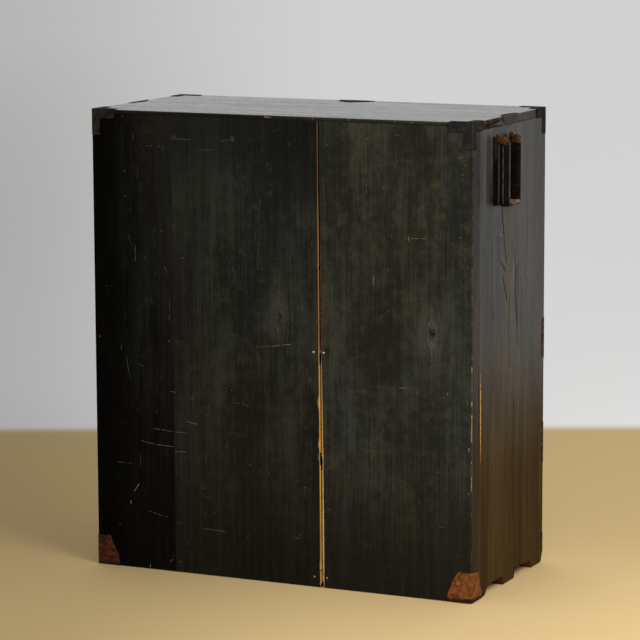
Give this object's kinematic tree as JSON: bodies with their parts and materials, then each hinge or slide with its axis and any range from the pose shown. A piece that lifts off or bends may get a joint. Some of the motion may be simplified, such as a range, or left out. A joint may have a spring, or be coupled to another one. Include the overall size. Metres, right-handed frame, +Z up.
{
  "type": "ship chest of drawers",
  "caption": "Tall wooden ship chest with full-width drawers, a planked back, forged iron corner mounts and a hinged carrying handle on each side.",
  "frame": {"origin": "on the floor under the middle of the case, on the underside of the middle floor batten", "axes": "-Y is the drawer front, +Y the planked back, +X the chest's right as seen from its front, +Z up"},
  "size_m": [0.8848, 0.4096, 0.9514],
  "materials": {
    "dark_wood": "worn dark stain, satin",
    "pale_wood": "raw planed softwood",
    "black_iron": "dark forged iron",
    "rusted_iron": "rusted iron",
    "nail_steel": "bright nail heads"
  },
  "bodies": {
    "case": {"top_board": "dark_wood", "bottom_board": "pale_wood", "side_board_left": "dark_wood", "side_board_right": "dark_wood", "back_plank_left": "dark_wood", "back_plank_middle": "dark_wood", "back_plank_right": "dark_wood", "front_rail_1": "dark_wood", "front_rail_2": "dark_wood", "front_rail_3": "dark_wood", "front_rail_4": "dark_wood", "rear_rail": "pale_wood", "drawer_runners": "pale_wood", "floor_battens": "dark_wood", "top_corner_mounts": "black_iron", "bottom_corner_caps": "rusted_iron", "rail_end_plates": "black_iron", "top_edge_plates": "black_iron", "back_nails": "nail_steel", "handle_eyes_left": "rusted_iron", "handle_eyes_right": "rusted_iron"},
    "left_carry": {"carry_handle_left": "black_iron"},
    "right_carry": {"carry_handle_right": "black_iron"},
    "drawer_1": {"drawer_1_front": "dark_wood", "drawer_1_bottom": "pale_wood", "drawer_1_sides": "pale_wood", "drawer_1_back": "pale_wood", "drawer_1_irons": "black_iron"},
    "bail_1_left": {"drawer_1_bail_left": "black_iron"},
    "bail_1_right": {"drawer_1_bail_right": "black_iron"},
    "drawer_2": {"drawer_2_front": "dark_wood", "drawer_2_bottom": "pale_wood", "drawer_2_sides": "pale_wood", "drawer_2_back": "pale_wood", "drawer_2_irons": "black_iron"},
    "bail_2_left": {"drawer_2_bail_left": "black_iron"},
    "bail_2_right": {"drawer_2_bail_right": "black_iron"},
    "drawer_3": {"drawer_3_front": "dark_wood", "drawer_3_bottom": "pale_wood", "drawer_3_sides": "pale_wood", "drawer_3_back": "pale_wood", "drawer_3_irons": "black_iron"},
    "bail_3_left": {"drawer_3_bail_left": "black_iron"},
    "bail_3_right": {"drawer_3_bail_right": "black_iron"},
    "drawer_4": {"drawer_4_front": "dark_wood", "drawer_4_bottom": "pale_wood", "drawer_4_sides": "pale_wood", "drawer_4_back": "pale_wood", "drawer_4_irons": "black_iron"},
    "bail_4_left": {"drawer_4_bail_left": "black_iron"},
    "bail_4_right": {"drawer_4_bail_right": "black_iron"},
    "drawer_5": {"drawer_5_front": "dark_wood", "drawer_5_bottom": "pale_wood", "drawer_5_sides": "pale_wood", "drawer_5_back": "pale_wood", "drawer_5_irons": "black_iron"},
    "bail_5_left": {"drawer_5_bail_left": "black_iron"},
    "bail_5_right": {"drawer_5_bail_right": "black_iron"}
  },
  "joints": [
    {"name": "left_carry_swing", "type": "hinge", "parent": "case", "child": "left_carry", "pos_m": [-0.4319, 0.032, 0.905], "axis": [0, 1, 0], "range_deg": [0, 180]},
    {"name": "right_carry_swing", "type": "hinge", "parent": "case", "child": "right_carry", "pos_m": [0.4319, 0.032, 0.905], "axis": [0, -1, 0], "range_deg": [0, 180]},
    {"name": "drawer_1_slide", "type": "slide", "parent": "case", "child": "drawer_1", "axis": [0, -1, 0], "range_m": [0, 0.28]},
    {"name": "bail_1_left_swing", "type": "hinge", "parent": "drawer_1", "child": "bail_1_left", "pos_m": [-0.215, -0.2062, 0.8864], "axis": [-1, 0, 0], "range_deg": [0, 170]},
    {"name": "bail_1_right_swing", "type": "hinge", "parent": "drawer_1", "child": "bail_1_right", "pos_m": [0.215, -0.2062, 0.8864], "axis": [-1, 0, 0], "range_deg": [0, 170]},
    {"name": "drawer_2_slide", "type": "slide", "parent": "case", "child": "drawer_2", "axis": [0, -1, 0], "range_m": [0, 0.28]},
    {"name": "bail_2_left_swing", "type": "hinge", "parent": "drawer_2", "child": "bail_2_left", "pos_m": [-0.215, -0.2062, 0.7454], "axis": [-1, 0, 0], "range_deg": [0, 170]},
    {"name": "bail_2_right_swing", "type": "hinge", "parent": "drawer_2", "child": "bail_2_right", "pos_m": [0.215, -0.2062, 0.7454], "axis": [-1, 0, 0], "range_deg": [0, 170]},
    {"name": "drawer_3_slide", "type": "slide", "parent": "case", "child": "drawer_3", "axis": [0, -1, 0], "range_m": [0, 0.28]},
    {"name": "bail_3_left_swing", "type": "hinge", "parent": "drawer_3", "child": "bail_3_left", "pos_m": [-0.215, -0.2062, 0.5809], "axis": [-1, 0, 0], "range_deg": [0, 170]},
    {"name": "bail_3_right_swing", "type": "hinge", "parent": "drawer_3", "child": "bail_3_right", "pos_m": [0.215, -0.2062, 0.5809], "axis": [-1, 0, 0], "range_deg": [0, 170]},
    {"name": "drawer_4_slide", "type": "slide", "parent": "case", "child": "drawer_4", "axis": [0, -1, 0], "range_m": [0, 0.28]},
    {"name": "bail_4_left_swing", "type": "hinge", "parent": "drawer_4", "child": "bail_4_left", "pos_m": [-0.215, -0.2062, 0.3784], "axis": [-1, 0, 0], "range_deg": [0, 170]},
    {"name": "bail_4_right_swing", "type": "hinge", "parent": "drawer_4", "child": "bail_4_right", "pos_m": [0.215, -0.2062, 0.3784], "axis": [-1, 0, 0], "range_deg": [0, 170]},
    {"name": "drawer_5_slide", "type": "slide", "parent": "case", "child": "drawer_5", "axis": [0, -1, 0], "range_m": [0, 0.28]},
    {"name": "bail_5_left_swing", "type": "hinge", "parent": "drawer_5", "child": "bail_5_left", "pos_m": [-0.215, -0.2062, 0.1529], "axis": [-1, 0, 0], "range_deg": [0, 170]},
    {"name": "bail_5_right_swing", "type": "hinge", "parent": "drawer_5", "child": "bail_5_right", "pos_m": [0.215, -0.2062, 0.1529], "axis": [-1, 0, 0], "range_deg": [0, 170]}
  ]
}
